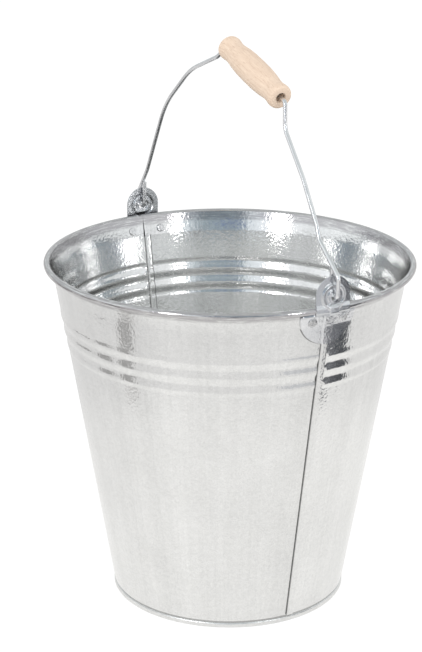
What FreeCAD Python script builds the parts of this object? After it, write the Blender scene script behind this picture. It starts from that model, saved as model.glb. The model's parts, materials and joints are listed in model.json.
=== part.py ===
"""Galvanised feed bucket with a wire bail and a turned wooden grip.

Millimetres, +Z up, origin on the floor at the middle of the foot ring. The two ears and the bail's
hinge axis lie on X. The body is two equal sheet panels, folded together down two lock seams.
"""

import FreeCAD
import Part
import Sketcher
import math
import os

Vector = FreeCAD.Vector
Rotation = FreeCAD.Rotation
Placement = FreeCAD.Placement

SIZES = {
    # sheet and the gaps between its layers
    "sheet": 0.45,
    "fold_gap": 0.04,
    "butt_angle": 0.02,
    # wall: the outer radius is foot_radius + flare * height
    "foot_radius": 97.6,
    "flare": 0.1682,
    "upper_step": 0.65,
    "tuck_height": 5.4,
    "neck_height": 271.5,
    # three pressed beads
    "bead_middle": 231.6,
    "bead_pitch": 12.6,
    "bead_depth": 0.5,
    "bead_flat": 2.2,
    "bead_offset": 0.3,
    "bead_tilt": 0.024,
    # bottom and the double seam that makes the foot ring
    "ring_radius": 98.7,
    "ring_height": 4.5,
    "ring_corner": 0.5,
    "floor_height": 3.4,
    "floor_raise": 1.2,
    "floor_radius": 84.0,
    "hook_clear": 0.24,
    # rolled rim
    "rim_radius": 150.3,
    "rim_height": 286.6,
    "rim_wire": 4.2,
    "curl_gap": 0.05,
    "curl_sweep": 286.0,
    # lock seams
    "seam_half": 3.2,
    "seam_joggle": 0.9,
    "seam_lap": 1.9,
    "seam_foot": 6.0,
    "seam_clear": 0.3,
    # ears
    "ear_sheet": 1.0,
    "ear_gap": 0.1,
    "ear_foot": 257.0,
    "ear_shelf_radius": 146.9,
    "ear_shelf": 282.0,
    "ear_stand_radius": 153.0,
    "ear_stand": 284.95,
    "ear_lean": 288.2,
    "ear_tongue_radius": 151.6,
    "ear_tongue": 291.0,
    "lobe_radius": 24.5,
    "lobe_top": 281.5,
    "tongue_half": 15.3,
    "tongue_centre": 298.0,
    "rib_height": 1.4,
    "rib_top": 292.5,
    "rib_half_angle": 1.76,
    "channel_half_angle": 1.42,
    "boss_radius": 11.0,
    "boss_taper": 2.2,
    "boss_height": 1.2,
    "hinge_height": 297.0,
    "eye_hole": 5.6,
    # rivets
    "rivet_shank": 4.0,
    "rivet_hole": 4.1,
    "rivet_side": 13.8,
    "rivet_height": 276.5,
    "rivet_head": 7.0,
    "rivet_head_thick": 1.0,
    "rivet_crush": 8.0,
    "rivet_crush_thick": 1.2,
    "rivet_seat": 0.06,
    # bail: hooks in the ears
    "bail_wire": 3.5,
    "bail_lean": 2.0,
    "eye_inside": 148.6,
    "eye_outside": 157.5,
    "eye_bend": 3.2,
    "tip_rise": 22.0,
    # grip
    "grip_length": 86.0,
    "grip_belly": 22.6,
    "grip_waist": 18.6,
    "grip_waist_at": 12.5,
    "grip_end": 20.2,
    "grip_shoulder": 5.0,
    "grip_face": 15.0,
    "grip_bore": 8.0,
    "grip_x": 26.2,
    "grip_rise": 149.6,
    "grip_slope": 18.5,
}

# Bends of the bail from the left hook to the right one: name, place along X, rise above the hinge, radius.
BAIL_BENDS = [
    ("left_shoulder", -157.5, 13.6, 8.0),
    ("left_knee", -144.0, 34.5, 30.0),
    ("left_arm", -115.5, 97.5, 80.0),
    ("left_arch", -74.0, 134.5, 80.0),
    ("left_neck", -30.5, 152.2, 8.0),
    ("grip_entry", -15.2, 163.4, 4.0),
    ("grip_exit", 72.9, 134.0, 4.0),
    ("right_neck", 74.4, 113.0, 15.0),
    ("right_arch", 103.0, 80.5, 40.0),
    ("right_arm", 125.0, 48.5, 25.0),
    ("right_knee", 129.5, 38.5, 8.0),
    ("right_shoulder", 157.5, 16.2, 5.0),
]
for bend_name, bend_x, bend_rise, bend_radius in BAIL_BENDS:
    SIZES[bend_name + "_x"] = bend_x
    SIZES[bend_name + "_rise"] = bend_rise
    SIZES[bend_name + "_bend"] = bend_radius


class Size:
    """A length with the sheet expression that gives it, so that a sketch can be drawn and then bound."""

    def __init__(self, value, text):
        self.value = value
        self.text = text

    @staticmethod
    def of(other):
        return other if isinstance(other, Size) else Size(float(other), repr(float(other)))

    def join(self, other, sign, value):
        return Size(value, "(%s %s %s)" % (self.text, sign, Size.of(other).text))

    def __add__(self, other):
        return self.join(other, "+", self.value + Size.of(other).value)

    def __sub__(self, other):
        return self.join(other, "-", self.value - Size.of(other).value)

    def __mul__(self, other):
        return self.join(other, "*", self.value * Size.of(other).value)

    def __truediv__(self, other):
        return self.join(other, "/", self.value / Size.of(other).value)

    def __radd__(self, other):
        return Size.of(other) + self

    def __rsub__(self, other):
        return Size.of(other) - self

    def __rmul__(self, other):
        return Size.of(other) * self

    def __neg__(self):
        return Size(-self.value, "(0 - %s)" % self.text)


class Outline:
    """A run of lines and arcs in a sketch. Every corner's place and every radius is bound to the sheet."""

    def __init__(self, sketch, x, y):
        self.sketch = sketch
        self.at = (Size.of(x), Size.of(y))
        self.first = None
        self.tail = None

    def bind(self, kind, geometry, end, size):
        size = Size.of(size)
        index = self.sketch.addConstraint(Sketcher.Constraint(kind, geometry, end, size.value))
        self.sketch.setExpression("Constraints[%d]" % index, size.text)

    def radius(self, geometry, size):
        size = Size.of(size)
        index = self.sketch.addConstraint(Sketcher.Constraint("Radius", geometry, size.value))
        self.sketch.setExpression("Constraints[%d]" % index, size.text)

    def pin(self, geometry, end, x, y):
        self.bind("DistanceX", geometry, end, x)
        self.bind("DistanceY", geometry, end, y)

    def link(self, geometry, start, end):
        if self.tail is None:
            self.first = (geometry, start)
            self.pin(geometry, start, *self.at)
        else:
            self.sketch.addConstraint(Sketcher.Constraint("Coincident", *self.tail, geometry, start))
        self.tail = (geometry, end)

    def line(self, x, y, pinned=True):
        x, y = Size.of(x), Size.of(y)
        start = Vector(self.at[0].value, self.at[1].value, 0)
        geometry = self.sketch.addGeometry(Part.LineSegment(start, Vector(x.value, y.value, 0)), False)
        self.link(geometry, 1, 2)
        if pinned:
            self.pin(geometry, 2, x, y)
        self.at = (x, y)
        return geometry

    def arc(self, x, y, radius, clockwise):
        """An arc of less than half a turn to the point x, y."""
        x, y, radius = Size.of(x), Size.of(y), Size.of(radius)
        start = Vector(self.at[0].value, self.at[1].value, 0)
        end = Vector(x.value, y.value, 0)
        chord = end - start
        right = Vector(chord.y, -chord.x, 0) / chord.Length
        depth = math.sqrt(max(radius.value ** 2 - chord.Length ** 2 / 4, 0))
        centre = (start + end) / 2 + right * (depth if clockwise else -depth)
        geometry = self.sketch.addGeometry(arc_about(centre, start, end, radius.value, clockwise), False)
        ends = (2, 1) if clockwise else (1, 2)
        self.link(geometry, *ends)
        self.pin(geometry, ends[1], x, y)
        self.radius(geometry, radius)
        self.at = (x, y)
        return geometry

    def close(self):
        start = Vector(self.at[0].value, self.at[1].value, 0)
        geometry = self.sketch.addGeometry(Part.LineSegment(start, self.sketch.getPoint(*self.first)), False)
        self.link(geometry, 1, 2)
        self.sketch.addConstraint(Sketcher.Constraint("Coincident", geometry, 2, *self.first))


def arc_about(centre, start, end, radius, clockwise):
    low, high = (end, start) if clockwise else (start, end)
    low_angle = math.atan2(low.y - centre.y, low.x - centre.x)
    high_angle = math.atan2(high.y - centre.y, high.x - centre.x)
    return Part.ArcOfCircle(Part.Circle(centre, Vector(0, 0, 1), radius), low_angle, high_angle)


def draw_bent(sketch, corners):
    """A line bent round each corner (x, y, radius) of a list. The first and last corners are its ends."""
    run = Outline(sketch, 0, 0)
    places = [Vector(Size.of(x).value, Size.of(y).value, 0) for x, y, _ in corners]
    marks = []
    for (x, y, _), place in zip(corners, places):
        mark = sketch.addGeometry(Part.Point(place), True)
        run.pin(mark, 1, x, y)
        marks.append(mark)
    starts = [places[0]]
    ends = []
    for index in range(1, len(corners) - 1):
        before = (places[index - 1] - places[index]).normalize()
        after = (places[index + 1] - places[index]).normalize()
        setback = Size.of(corners[index][2]).value / math.tan(before.getAngle(after) / 2)
        ends.append(places[index] + before * setback)
        starts.append(places[index] + after * setback)
    ends.append(places[-1])
    lines = [sketch.addGeometry(Part.LineSegment(a, b), False) for a, b in zip(starts, ends)]
    for index, line in enumerate(lines):
        for mark in marks[index:index + 2]:
            at_end = mark == marks[0] or mark == marks[-1]
            if not at_end:
                sketch.addConstraint(Sketcher.Constraint("PointOnObject", mark, 1, line))
    sketch.addConstraint(Sketcher.Constraint("Coincident", lines[0], 1, marks[0], 1))
    sketch.addConstraint(Sketcher.Constraint("Coincident", lines[-1], 2, marks[-1], 1))
    for index in range(1, len(corners) - 1):
        radius = Size.of(corners[index][2])
        before = (places[index - 1] - places[index]).normalize()
        after = (places[index + 1] - places[index]).normalize()
        clockwise = before.cross(after).z > 0
        middle = (before + after).normalize()
        centre = places[index] + middle * (radius.value / math.sin(before.getAngle(after) / 2))
        bend = arc_about(centre, ends[index - 1], starts[index], radius.value, clockwise)
        bend = sketch.addGeometry(bend, False)
        into, out = (2, 1) if clockwise else (1, 2)
        sketch.addConstraint(Sketcher.Constraint("Tangent", lines[index - 1], 2, bend, into))
        sketch.addConstraint(Sketcher.Constraint("Tangent", bend, out, lines[index], 1))
        run.radius(bend, radius)


document = FreeCAD.newDocument("feed_bucket")
table = document.addObject("Spreadsheet::Sheet", "Sizes")
for row, (alias, number) in enumerate(SIZES.items(), start=1):
    table.set("A%d" % row, alias)
    table.set("B%d" % row, str(number))
    table.setAlias("B%d" % row, alias)
document.recompute()


class Sheet:
    """Reads a size from the spreadsheet by its alias."""

    def __getattr__(self, alias):
        return Size(float(table.get(alias)), "Sizes." + alias)


S = Sheet()
UPRIGHT = Rotation(Vector(1, 0, 0), 90)
HALF_TURN = Rotation(Vector(0, 0, 1), 180)
FACING_X = Rotation(Vector(0, 1, 0), Vector(0, 0, 1), Vector(1, 0, 0), "ZXY")


def bind(item, prop, size):
    item.setExpression(prop, Size.of(size).text)
    return item


def free_sketch(name, placement):
    sketch = document.addObject("Sketcher::SketchObject", name)
    sketch.Placement = placement
    return sketch


def thicken(name, sketch, thickness):
    """Turns an open run into a strip of the sheet's thickness, to one side of the run."""
    strip = document.addObject("Part::Offset2D", name)
    strip.Source = sketch
    strip.Mode = "Skin"
    strip.Join = "Intersection"
    strip.Fill = True
    strip.Value = thickness.value
    return bind(strip, "Value", thickness)


def revolve(name, source, angle, symmetric=False, axis=Vector(0, 0, 1)):
    turned = document.addObject("Part::Revolution", name)
    turned.Source = source
    turned.Axis = axis
    turned.Solid = True
    turned.Symmetric = symmetric
    turned.Angle = Size.of(angle).value
    return bind(turned, "Angle", angle)


def extrude(name, source, direction, length):
    pulled = document.addObject("Part::Extrusion", name)
    pulled.Base = source
    pulled.DirMode = "Custom"
    pulled.Dir = direction
    pulled.Solid = True
    pulled.LengthFwd = Size.of(length).value
    return bind(pulled, "LengthFwd", length)


def fuse(name, items):
    joined = document.addObject("Part::MultiFuse", name)
    joined.Shapes = items
    return joined


def cut(name, base, tool):
    result = document.addObject("Part::Cut", name)
    result.Base = base
    result.Tool = tool
    return result


def common(name, items):
    result = document.addObject("Part::MultiCommon", name)
    result.Shapes = items
    return result


def finish(item, label, placement=Placement()):
    """Names a finished sub-part and puts it in its place."""
    item.Label = label
    item.Placement = placement
    return item


def wall_radius(height):
    """Outer radius of the plain cone at a height."""
    return S.foot_radius + S.flare * height


def fold_pitch():
    """Step from one layer of a fold to the next."""
    return S.sheet + S.fold_gap


# ---------------------------------------------------------------- body panels


def neck_point():
    """Where the wall starts to open towards the rolled rim."""
    return wall_radius(S.neck_height) + S.upper_step, S.neck_height


def curl_radius():
    return S.rim_wire / 2 + S.curl_gap


def flare_line():
    """Heading and far end of the line that leaves the neck and touches the curl round the rim wire."""
    x, y = (part.value for part in neck_point())
    to_rim = Vector(S.rim_radius.value - x, S.rim_height.value - y, 0)
    heading = math.atan2(to_rim.y, to_rim.x) + math.asin(curl_radius().value / to_rim.Length)
    reach = math.sqrt(to_rim.Length ** 2 - curl_radius().value ** 2)
    return heading, x + reach * math.cos(heading), y + reach * math.sin(heading)


def bead_line(height):
    """Middle line of the beads: a little further out than the wall, and a little steeper."""
    return wall_radius(height) + S.bead_offset + S.bead_tilt * (height - S.bead_middle)


def bead_foot():
    return S.bead_middle - S.bead_pitch * 1.25


def draw_beads(run):
    """Three crests with two valleys between them, then the wall on up to the neck.

    Each crest and valley is a short flat with a flank on either side, so that every face stays a cone.
    """
    run.line(bead_line(bead_foot()), bead_foot())
    for index in range(5):
        middle = S.bead_middle + S.bead_pitch * ((index - 2) / 2)
        press = S.bead_depth if index % 2 == 0 else -S.bead_depth
        for side in (-1, 1):
            height = middle + S.bead_flat * (side / 2)
            run.line(bead_line(height) + press, height)
    top = S.bead_middle + S.bead_pitch * 1.25
    run.line(bead_line(top), top)
    run.line(*neck_point())


def draw_wall(sketch):
    """Outer face of a panel, from its hook in the foot ring up to the curl round the rim wire."""
    hook = S.ring_radius - S.sheet * 2 - S.fold_gap
    seat = hook - S.sheet - S.fold_gap * 2
    fold = S.sheet * 2 + S.hook_clear
    run = Outline(sketch, hook, S.ring_height - S.sheet * 2)
    run.line(hook, fold)
    run.line(seat, fold)
    run.line(seat, S.ring_height + S.fold_gap)
    run.line(wall_radius(S.tuck_height), S.tuck_height)
    draw_beads(run)
    draw_curl(run)


def draw_curl(run):
    """The flared lip, and the curl round the rim wire. Flats keep the curl's faces cones."""
    heading, x, y = flare_line()
    run.line(x, y)
    start = heading + math.pi / 2
    sweep = math.radians(S.curl_sweep.value)
    flats = 9
    outer = curl_radius() / math.cos(sweep / flats / 2)
    for index in range(flats):
        angle = start - sweep * (index + 0.5) / flats
        run.line(S.rim_radius + outer * math.cos(angle), S.rim_height + outer * math.sin(angle))
    angle = start - sweep
    run.line(S.rim_radius + curl_radius() * math.cos(angle), S.rim_height + curl_radius() * math.sin(angle))


def draw_outer_fold(sketch):
    """Section of the seam's outer sheet: lap, step out over the other sheet, and the leaf turned under."""
    outer = fold_pitch() * 3
    under = S.fold_gap
    base = wall_radius(S.seam_foot)
    bend = (outer - under) / 2
    shoulder = S.seam_half - S.seam_joggle + 0.1
    run = Outline(sketch, base, S.seam_half + S.seam_lap)
    run.line(base, shoulder + S.seam_joggle)
    run.line(base + outer, shoulder)
    run.line(base + outer, bend - S.seam_half)
    run.arc(base + outer - bend, -S.seam_half, bend, clockwise=True)
    run.arc(base + under, bend - S.seam_half, bend, clockwise=True)
    run.line(base + under, shoulder - 1.1)


def draw_inner_fold(sketch):
    """Section of the seam's inner sheet: the wall itself, and its edge turned back over it."""
    back = fold_pitch() + S.fold_gap
    base = wall_radius(S.seam_foot)
    bend = back / 2
    turn = S.seam_half - S.seam_joggle - 0.75
    run = Outline(sketch, base, -(S.seam_half + S.seam_lap))
    run.line(base, turn)
    run.arc(base + bend, turn + bend, bend, clockwise=True)
    run.arc(base + back, turn, bend, clockwise=True)
    run.line(base + back, 0.9 - S.seam_half)


def draw_rectangle(sketch, x_low, x_high, y_low, y_high):
    run = Outline(sketch, x_low, y_low)
    run.line(x_high, y_low)
    run.line(x_high, y_high)
    run.line(x_low, y_high)
    run.close()


def up_the_seam(name, draw, turned, foot, top, thickness=None):
    """A section drawn across the seam at the height foot, drawn out along the slope of the wall to top."""
    turn = HALF_TURN if turned else Rotation()
    sketch = free_sketch(name + "_section", Placement(Vector(0, 0, foot.value), turn))
    bind(sketch, ".Placement.Base.z", foot)
    draw(sketch)
    source = sketch if thickness is None else thicken(name + "_leaf", sketch, thickness)
    slope = turn.multVec(Vector(S.flare.value, 0, 1))
    return extrude(name, source, slope, (top - foot) * slope.Length)


def seam_notch(name, turned, side_low, side_high):
    """What is cleared out of the round wall to make room for a seam."""
    foot = S.seam_foot - S.seam_clear
    base = wall_radius(foot)
    return up_the_seam(name, lambda sketch: draw_rectangle(sketch, base - 3, base + 4, side_low, side_high),
                       turned, foot, S.neck_height)


def bead_end(name, side):
    """The joggle that closes the ends of the beads beside the seam at -X, down to the flat sheet."""
    sketch = free_sketch(name + "_section", Placement(Vector(0, side.value, 0), UPRIGHT))
    foot = bead_foot() - S.bead_pitch / 2
    run = Outline(sketch, wall_radius(foot) - S.sheet, foot)
    run.line(wall_radius(foot), foot)
    draw_beads(run)
    run.line(wall_radius(S.neck_height) - S.sheet, S.neck_height)
    run.close()
    sketch.Placement = Placement(Vector(0, 0, 0), HALF_TURN) * sketch.Placement
    return extrude(name, sketch, Vector(0, 1, 0), S.sheet)


def panel(name, turned):
    """Half of the body. It is drawn on the +Y side; the other panel is the same sheet, turned about Z."""
    butt = Rotation(Vector(0, 0, 1), S.butt_angle.value)
    path = free_sketch(name + "_path", Placement(Vector(0, 0, 0), butt * UPRIGHT))
    draw_wall(path)
    wall = revolve(name + "_wall", thicken(name + "_strip", path, S.sheet), 180 - S.butt_angle * 2)

    edge = S.seam_half + 0.5
    notches = fuse(name + "_notches", [
        seam_notch(name + "_outer_notch", False, Size.of(-2), S.seam_half - S.seam_joggle + 0.2),
        seam_notch(name + "_inner_notch", True, -edge, Size.of(2)),
    ])
    top = S.neck_height - S.seam_clear
    sheet_parts = [
        cut(name + "_open_wall", wall, notches),
        up_the_seam(name + "_outer_fold", draw_outer_fold, False, S.seam_foot, top, S.sheet),
        up_the_seam(name + "_inner_fold", draw_inner_fold, True, S.seam_foot, top, -S.sheet),
        bead_end(name + "_bead_end", -edge),
    ]
    holes = [rivet_hole(name + "_hole_right", False, 1), rivet_hole(name + "_hole_left", True, -1)]
    drilled = cut(name, fuse(name + "_sheet", sheet_parts), fuse(name + "_holes", holes))
    return finish(drilled, name, Placement(Vector(0, 0, 0), HALF_TURN if turned else Rotation()))


# ---------------------------------------------------------------- bottom and rim wire


def draw_bottom(sketch):
    """Lower and outer face of the bottom: floor, chuck wall, foot ring, and the cover over the wall's hook."""
    cover = S.ring_radius - S.sheet * 3 - S.fold_gap * 2
    chuck = cover - S.fold_gap * 2 - S.sheet * 2
    corner = S.ring_corner
    run = Outline(sketch, 0, S.floor_height + S.floor_raise)
    run.line(S.floor_radius, S.floor_height + S.floor_raise)
    run.line(S.floor_radius + S.floor_raise * 2.5, S.floor_height)
    run.line(chuck, S.floor_height)
    run.line(chuck, corner)
    run.line(chuck + corner, 0)
    run.line(S.ring_radius - corner, 0)
    run.line(S.ring_radius, corner)
    run.line(S.ring_radius, S.ring_height)
    run.line(cover, S.ring_height)
    run.line(cover, S.sheet * 3)


def bottom(name):
    path = free_sketch(name + "_path", Placement(Vector(0, 0, 0), UPRIGHT))
    draw_bottom(path)
    return finish(revolve(name + "_turned", thicken(name + "_strip", path, S.sheet), 360), name)


def rim_wire(name):
    """The wire hidden in the rim, given twelve flats in place of its round section."""
    section = free_sketch(name + "_section", Placement(Vector(0, 0, 0), UPRIGHT))
    radius = S.rim_wire / 2
    run = Outline(section, S.rim_radius + radius, S.rim_height)
    for index in range(1, 12):
        angle = index * math.pi / 6
        run.line(S.rim_radius + radius * math.cos(angle), S.rim_height + radius * math.sin(angle))
    run.close()
    return finish(revolve(name, section, 360), name)


# ---------------------------------------------------------------- ears


def draw_ear_back(sketch, top):
    """Inner face of an ear: up the wall and the lip, out under the curl, round it, and up the tongue."""
    neck, _ = neck_point()
    run = Outline(sketch, wall_radius(S.ear_foot) + S.upper_step + S.ear_gap, S.ear_foot)
    run.line(neck + S.ear_gap, S.neck_height)
    run.line(S.ear_shelf_radius, S.ear_shelf)
    run.line(S.ear_stand_radius, S.ear_stand)
    run.line(S.ear_stand_radius, S.ear_lean)
    run.line(S.ear_tongue_radius, S.ear_tongue)
    run.line(S.ear_tongue_radius, top)


def ear_band(name, top, thickness, half_angle):
    """A band of the ear's section, swept about Z to both sides of the ear's middle."""
    path = free_sketch(name + "_path", Placement(Vector(0, 0, 0), UPRIGHT))
    draw_ear_back(path, top)
    return revolve(name, thicken(name + "_strip", path, -thickness), half_angle * 2, symmetric=True)


def draw_ear_front(sketch):
    """The ear as seen from outside: a half-round foot with a round-topped tongue standing on it."""
    low, centre = S.lobe_top, S.tongue_centre
    lobe, half = S.lobe_radius, S.tongue_half
    run = Outline(sketch, lobe, low)
    run.line(half, low)
    run.line(half, centre)
    run.arc(0, centre + half, half, clockwise=False)
    run.arc(-half, centre, half, clockwise=False)
    run.line(-half, low)
    run.line(-lobe, low)
    run.arc(0, low - lobe, lobe, clockwise=False)
    run.arc(lobe, low, lobe, clockwise=False)


def hinge_cone(name, low, high, radius):
    """A cone on the hinge axis, from the radius low to the radius high about Z."""
    cone = document.addObject("Part::Cone", name)
    bind(cone, "Radius1", radius)
    bind(cone, "Radius2", radius - S.boss_taper)
    bind(cone, "Height", high - low)
    cone.Placement = Placement(Vector(low.value, 0, S.hinge_height.value), Rotation(Vector(0, 1, 0), 90))
    bind(cone, ".Placement.Base.x", low)
    return bind(cone, ".Placement.Base.z", S.hinge_height)


def hinge_hole(name):
    hole = document.addObject("Part::Cylinder", name)
    bind(hole, "Radius", S.eye_hole / 2)
    hole.Height = 40
    hole.Placement = Placement(Vector(130, 0, S.hinge_height.value), Rotation(Vector(0, 1, 0), 90))
    return bind(hole, ".Placement.Base.z", S.hinge_height)


def rim_room(name):
    """The room that the rolled rim takes behind an ear."""
    room = document.addObject("Part::Cylinder", name)
    bind(room, "Radius", S.ear_stand_radius)
    return bind(room, "Height", S.rim_height + curl_radius())


def ear(name, turned):
    """One pressed sheet: band, front outline, boss and rib pressed out, eye and rivet holes."""
    band = ear_band(name + "_band", S.tongue_centre + S.tongue_half + 1, S.ear_sheet, Size.of(11))
    front = free_sketch(name + "_front", Placement(Vector(120, 0, 0), FACING_X))
    draw_ear_front(front)
    plate = common(name + "_plate", [band, extrude(name + "_stamp", front, Vector(1, 0, 0), 50)])
    rib = ear_band(name + "_rib", S.rib_top, S.ear_sheet + S.rib_height, S.rib_half_angle)
    channel = ear_band(name + "_channel", S.rib_top - S.ear_sheet, S.rib_height, S.channel_half_angle)
    back = S.ear_tongue_radius
    disc = hinge_cone(name + "_disc", back + 0.2, back + S.ear_sheet + S.boss_height, S.boss_radius)
    boss = cut(name + "_boss", disc, rim_room(name + "_rim_room"))
    hollow = hinge_cone(name + "_hollow", back - 0.8, back + S.boss_height, S.boss_radius - 0.6)
    raised = fuse(name + "_raised", [plate, rib, boss])
    holes = [rivet_hole(name + "_hole_front", False, -1), rivet_hole(name + "_hole_rear", False, 1)]
    hollows = fuse(name + "_hollows", [channel, hollow, hinge_hole(name + "_eye")] + holes)
    return finish(cut(name, raised, hollows), name, Placement(Vector(0, 0, 0), HALF_TURN if turned else Rotation()))


# ---------------------------------------------------------------- rivets


def rivet_place(side):
    """Middle of a rivet on the outer face of the lip, its Z axis pointing out of the bucket."""
    heading, _, _ = flare_line()
    neck, height = neck_point()
    rise = S.rivet_height.value - height.value
    radius = neck.value + rise / math.tan(heading)
    turn = Rotation(Vector(0, 0, 1), side * math.degrees(math.asin(S.rivet_side.value / radius)))
    lean = Rotation(Vector(0, 1, 0), 180 - math.degrees(heading))
    return Placement(turn.multVec(Vector(radius, 0, S.rivet_height.value)), turn * lean)


def rivet_hole(name, turned, side):
    hole = document.addObject("Part::Cylinder", name)
    bind(hole, "Radius", S.rivet_hole / 2)
    hole.Height = 8
    middle = rivet_place(side) * Placement(Vector(0, 0, -4), Rotation())
    hole.Placement = Placement(Vector(0, 0, 0), HALF_TURN if turned else Rotation()) * middle
    return hole


def draw_rivet(sketch):
    """Half section along the axis: flat head inside the wall, shank, and hammered head outside the ear."""
    inside = -S.sheet - S.rivet_seat
    outside = S.ear_gap + S.ear_sheet + S.rivet_seat
    head, shank, crush = S.rivet_head / 2, S.rivet_shank / 2, S.rivet_crush / 2
    run = Outline(sketch, 0, inside - S.rivet_head_thick)
    run.line(head, inside - S.rivet_head_thick)
    run.line(head, inside)
    run.line(shank, inside)
    run.line(shank, outside)
    run.line(crush, outside)
    run.line(crush - 0.5, outside + S.rivet_crush_thick * 0.7)
    run.line(crush * 0.55, outside + S.rivet_crush_thick)
    run.line(0, outside + S.rivet_crush_thick)
    run.close()


def rivet(name, turned, side):
    half = free_sketch(name + "_half", Placement(Vector(0, 0, 0), UPRIGHT))
    draw_rivet(half)
    place = Placement(Vector(0, 0, 0), HALF_TURN if turned else Rotation()) * rivet_place(side)
    return finish(revolve(name, half, 360), name, place)


# ---------------------------------------------------------------- bail and grip


def bail_corners():
    """Middle line of the wire from the left tip to the right one: hook, arm, arch, grip, arch, arm, hook."""
    hook = S.eye_bend
    bends = [(getattr(S, word + "_x"), getattr(S, word + "_rise"), getattr(S, word + "_bend"))
             for word, _, _, _ in BAIL_BENDS]
    left = [(-S.eye_inside, S.tip_rise, 0), (-S.eye_inside, 0, hook), (-S.eye_outside, 0, hook)]
    right = [(S.eye_outside, 0, hook), (S.eye_inside, 0, hook), (S.eye_inside, S.tip_rise, 0)]
    return left + bends + right


def bail(name):
    lean = Rotation(Vector(1, 0, 0), 90 - S.bail_lean.value)
    hinge = Vector(0, 0, S.hinge_height.value)
    path = free_sketch(name + "_path", Placement(hinge, lean))
    draw_bent(path, bail_corners())
    tip = lean.multVec(Vector(-S.eye_inside.value, S.tip_rise.value, 0)) + hinge
    section = free_sketch(name + "_section", Placement(tip, lean * Rotation(Vector(1, 0, 0), 90)))
    circle = section.addGeometry(Part.Circle(Vector(0, 0, 0), Vector(0, 0, 1), S.bail_wire.value / 2), False)
    section.addConstraint(Sketcher.Constraint("Coincident", circle, 3, -1, 1))
    diameter = section.addConstraint(Sketcher.Constraint("Diameter", circle, S.bail_wire.value))
    section.setExpression("Constraints[%d]" % diameter, "Sizes.bail_wire")
    document.recompute()
    wire = document.addObject("Part::Sweep", name)
    wire.Sections = [section]
    wire.Spine = (path, ["Edge%d" % (k + 1) for k in range(len(path.Shape.Edges))])
    wire.Solid = True
    wire.Frenet = False
    return finish(wire, name)


def draw_grip(sketch):
    """Half section of the turned grip about its bore: a belly between two waists, and a knob at each end."""
    half = S.grip_length / 2
    knob, waist, belly = S.grip_end / 2, S.grip_waist / 2, S.grip_belly / 2
    from_middle = [
        (S.grip_length * 0.14, belly - 0.2),
        (S.grip_length * 0.25, belly - 0.9),
        (half - S.grip_waist_at * 1.25, waist + 0.3),
        (half - S.grip_waist_at, waist),
        (half - S.grip_waist_at * 0.72, waist + 0.15),
        (half - S.grip_shoulder, knob),
        (half - S.grip_shoulder / 2, knob),
        (half - 0.9, knob - 0.8),
        (half, S.grip_face / 2),
        (half, S.grip_bore / 2),
    ]
    run = Outline(sketch, -half, S.grip_bore / 2)
    for along, radius in reversed(from_middle[:-1]):
        run.line(-along, radius)
    for along, radius in from_middle:
        run.line(along, radius)
    run.close()


def grip(name):
    """The grip turned about X, then laid along the straight run of the bail's wire."""
    half = free_sketch(name + "_half", Placement())
    draw_grip(half)
    lean = Rotation(Vector(1, 0, 0), 90 - S.bail_lean.value)
    middle = lean.multVec(Vector(S.grip_x.value, S.grip_rise.value, 0)) + Vector(0, 0, S.hinge_height.value)
    place = Placement(middle, lean * Rotation(Vector(0, 0, 1), -S.grip_slope.value))
    return finish(revolve(name, half, 360, axis=Vector(1, 0, 0)), name, place)


# ---------------------------------------------------------------- the object

parts = [
    panel("body_panel_front", True),
    panel("body_panel_rear", False),
    bottom("bottom_disc"),
    rim_wire("rim_wire"),
    ear("ear_right", False),
    ear("ear_left", True),
    rivet("rivet_right_front", False, -1),
    rivet("rivet_right_rear", False, 1),
    rivet("rivet_left_front", True, 1),
    rivet("rivet_left_rear", True, -1),
    bail("bail_wire"),
    grip("wooden_grip"),
]
document.recompute()

for item in document.Objects:
    if "Invalid" in item.State or "Error" in item.State:
        raise RuntimeError("%s did not compute: %s" % (item.Label, item.State))

os.makedirs("parts", exist_ok=True)
for item in parts:
    if item.Shape.isNull() or not item.Shape.isValid() or len(item.Shape.Solids) != 1:
        raise RuntimeError("%s is not one valid solid" % item.Label)
    item.Shape.exportStep("parts/%s.step" % item.Label)
    print("%-20s %10.1f mm3" % (item.Label, item.Shape.Volume))
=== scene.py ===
import json
import math

import bmesh
import bpy
import numpy as np
from mathutils import Matrix, Vector
from mathutils.geometry import delaunay_2d_cdt


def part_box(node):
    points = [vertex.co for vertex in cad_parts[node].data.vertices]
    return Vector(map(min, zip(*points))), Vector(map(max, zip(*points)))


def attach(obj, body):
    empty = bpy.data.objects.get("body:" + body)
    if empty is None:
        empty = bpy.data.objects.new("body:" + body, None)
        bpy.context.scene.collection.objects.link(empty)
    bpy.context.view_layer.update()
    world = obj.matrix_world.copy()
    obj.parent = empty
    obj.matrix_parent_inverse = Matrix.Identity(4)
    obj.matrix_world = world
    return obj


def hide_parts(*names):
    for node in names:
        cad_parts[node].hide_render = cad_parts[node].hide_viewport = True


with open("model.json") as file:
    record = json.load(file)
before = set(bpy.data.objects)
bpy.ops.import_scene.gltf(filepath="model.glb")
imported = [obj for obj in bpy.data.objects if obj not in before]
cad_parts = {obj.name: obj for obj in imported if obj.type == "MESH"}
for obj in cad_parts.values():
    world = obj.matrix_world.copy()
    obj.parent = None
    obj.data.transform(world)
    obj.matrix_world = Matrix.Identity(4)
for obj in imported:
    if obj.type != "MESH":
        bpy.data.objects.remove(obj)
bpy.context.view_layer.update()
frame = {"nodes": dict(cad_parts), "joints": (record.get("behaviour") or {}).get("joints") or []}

# ------------------------------------------------------------------ camera, floor and light
# The bucket stands on a white sweep, seen a little from above and from the side of its right ear. Its zinc
# mirrors a room given as tones round the horizon, the floor's own tones, and cards and strips that only
# reflections show. Two soft boxes light it without being mirrored.

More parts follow.
